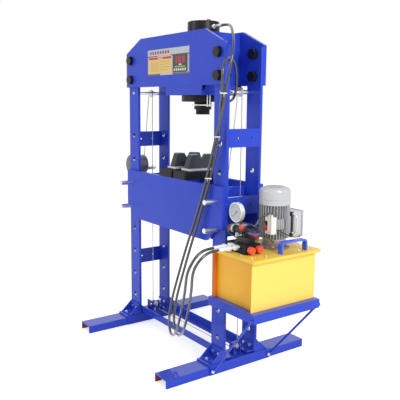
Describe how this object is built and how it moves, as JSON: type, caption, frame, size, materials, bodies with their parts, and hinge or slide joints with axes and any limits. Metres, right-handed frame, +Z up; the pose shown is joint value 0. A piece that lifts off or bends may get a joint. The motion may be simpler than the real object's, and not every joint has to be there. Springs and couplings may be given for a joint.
{
  "type": "hydraulic press",
  "caption": "Blue H-frame hydraulic shop press with an adjustable pinned table, V-blocks, rope winch and a side-mounted motor power pack.",
  "frame": {"origin": "floor level under the middle of the bounding box, hoses and rope left out", "axes": "+X to the right seen from the label side, towards the power pack; +Y to the rear; +Z up"},
  "size_m": [1.599, 1.03, 2.025],
  "materials": {
    "frame_blue": "gloss enamel",
    "black_steel": "satin black",
    "dark_bolts": "black oxide",
    "bright_steel": "bright",
    "winch_grey": "satin",
    "label": "printed plate",
    "tank_orange": "gloss enamel",
    "lid_yellow": "gloss enamel",
    "motor_silver": "silver paint",
    "terminal_paint": "silver paint",
    "cream_plastic": "satin",
    "black_plastic": "gloss",
    "gauge_steel": "polished",
    "valve_paint": "satin",
    "red_plastic": "gloss",
    "hose_rubber": "semi-gloss"
  },
  "bodies": {
    "frame": {"base_bolts": "dark_bolts", "beam_bolts": "dark_bolts", "beam_front_plate": "frame_blue", "beam_rear_plate": "frame_blue", "fan_cowl": "motor_silver", "front_left_column": "frame_blue", "front_lower_tie": "frame_blue", "front_right_column": "frame_blue", "gauge_case": "gauge_steel", "hose_fittings": "bright_steel", "label_plate": "label", "left_foot": "frame_blue", "left_lower_tie": "frame_blue", "left_press_block": "black_steel", "left_upper_tie": "frame_blue", "left_v_block": "black_steel", "manifold_block": "black_steel", "motor_body": "motor_silver", "oil_tank": "tank_orange", "power_shelf": "frame_blue", "press_cylinder": "black_steel", "pressure_hose": "hose_rubber", "pulley_shafts": "bright_steel", "ram_seat": "frame_blue", "rear_left_column": "frame_blue", "rear_lower_tie": "frame_blue", "rear_right_column": "frame_blue", "return_hose": "hose_rubber", "right_foot": "frame_blue", "right_lower_tie": "frame_blue", "right_press_block": "black_steel", "right_upper_tie": "frame_blue", "right_v_block": "black_steel", "shelf_braces": "frame_blue", "switch_box": "cream_plastic", "table_front_plate": "frame_blue", "table_left_end": "frame_blue", "table_rear_plate": "frame_blue", "table_right_end": "frame_blue", "tank_lid": "lid_yellow", "terminal_box": "terminal_paint", "valve_body": "valve_paint", "winch_housing": "winch_grey", "wire_rope": "bright_steel"},
    "ram_body": {"ram": "black_steel", "limit_stop": "bright_steel"},
    "winch_crank": {"winch_crank_shaft": "bright_steel"},
    "lever": {"valve_lever": "red_plastic"},
    "knob_front": {"front_knob": "red_plastic"},
    "knob_rear": {"rear_knob": "red_plastic"},
    "rocker": {"switch_rocker": "black_plastic"},
    "needle": {"gauge_needle": "black_plastic"},
    "pulley_top_left": {"left_top_pulley": "bright_steel"},
    "pulley_top_right": {"right_top_pulley": "bright_steel"},
    "pulley_base_left": {"left_base_pulley": "bright_steel"},
    "pulley_base_right": {"right_base_pulley": "bright_steel"},
    "pin_left_lower": {"table_pin_left_lower": "bright_steel"},
    "pin_left_upper": {"table_pin_left_upper": "bright_steel"},
    "pin_right_lower": {"table_pin_right_lower": "bright_steel"},
    "pin_right_upper": {"table_pin_right_upper": "bright_steel"}
  },
  "joints": [
    {"name": "ram_stroke", "type": "slide", "parent": "frame", "child": "ram_body", "axis": [0, 0, -1], "range_m": [0, 0.2]},
    {"name": "pin_left_lower_pull", "type": "slide", "parent": "frame", "child": "pin_left_lower", "axis": [0, -1, 0], "range_m": [0, 0.32]},
    {"name": "pin_left_upper_pull", "type": "slide", "parent": "frame", "child": "pin_left_upper", "axis": [0, -1, 0], "range_m": [0, 0.32]},
    {"name": "pin_right_lower_pull", "type": "slide", "parent": "frame", "child": "pin_right_lower", "axis": [0, -1, 0], "range_m": [0, 0.32]},
    {"name": "pin_right_upper_pull", "type": "slide", "parent": "frame", "child": "pin_right_upper", "axis": [0, -1, 0], "range_m": [0, 0.32]},
    {"name": "crank_turn", "type": "hinge", "parent": "frame", "child": "winch_crank", "pos_m": [-0.7275, 0.06, 1.068], "axis": [0, 1, 0], "continuous": true},
    {"name": "pulley_top_left_spin", "type": "hinge", "parent": "frame", "child": "pulley_top_left", "pos_m": [-0.6015, 0.006, 1.595], "axis": [0, 1, 0], "continuous": true},
    {"name": "pulley_top_right_spin", "type": "hinge", "parent": "frame", "child": "pulley_top_right", "pos_m": [0.3565, 0.006, 1.595], "axis": [0, 1, 0], "continuous": true},
    {"name": "pulley_base_left_spin", "type": "hinge", "parent": "frame", "child": "pulley_base_left", "pos_m": [-0.5575, 0.006, 0.105], "axis": [0, 1, 0], "continuous": true},
    {"name": "pulley_base_right_spin", "type": "hinge", "parent": "frame", "child": "pulley_base_right", "pos_m": [0.3565, 0.006, 0.105], "axis": [0, 1, 0], "continuous": true},
    {"name": "valve_lever_throw", "type": "hinge", "parent": "frame", "child": "lever", "pos_m": [0.6125, -0.174, 0.862], "axis": [0, 1, 0], "range_deg": [-20, 20]},
    {"name": "front_knob_turn", "type": "hinge", "parent": "frame", "child": "knob_front", "pos_m": [0.6725, -0.172, 0.782], "axis": [1, 0, 0], "range_deg": [-360, 360]},
    {"name": "rear_knob_turn", "type": "hinge", "parent": "frame", "child": "knob_rear", "pos_m": [0.6725, -0.118, 0.782], "axis": [1, 0, 0], "range_deg": [-360, 360]},
    {"name": "switch_tilt", "type": "hinge", "parent": "frame", "child": "rocker", "pos_m": [0.6635, -0.035, 0.895], "axis": [1, 0, 0], "range_deg": [-10, 10]},
    {"name": "needle_swing", "type": "hinge", "parent": "frame", "child": "needle", "pos_m": [0.4905, -0.115, 0.947], "axis": [0, 1, 0], "range_deg": [0, 270]}
  ],
  "couplings": [
    {"joint": "pulley_top_left_spin", "follows": "crank_turn", "ratio": 0.25},
    {"joint": "pulley_base_left_spin", "follows": "crank_turn", "ratio": -0.25},
    {"joint": "pulley_base_right_spin", "follows": "crank_turn", "ratio": -0.25},
    {"joint": "pulley_top_right_spin", "follows": "crank_turn", "ratio": -0.25}
  ]
}
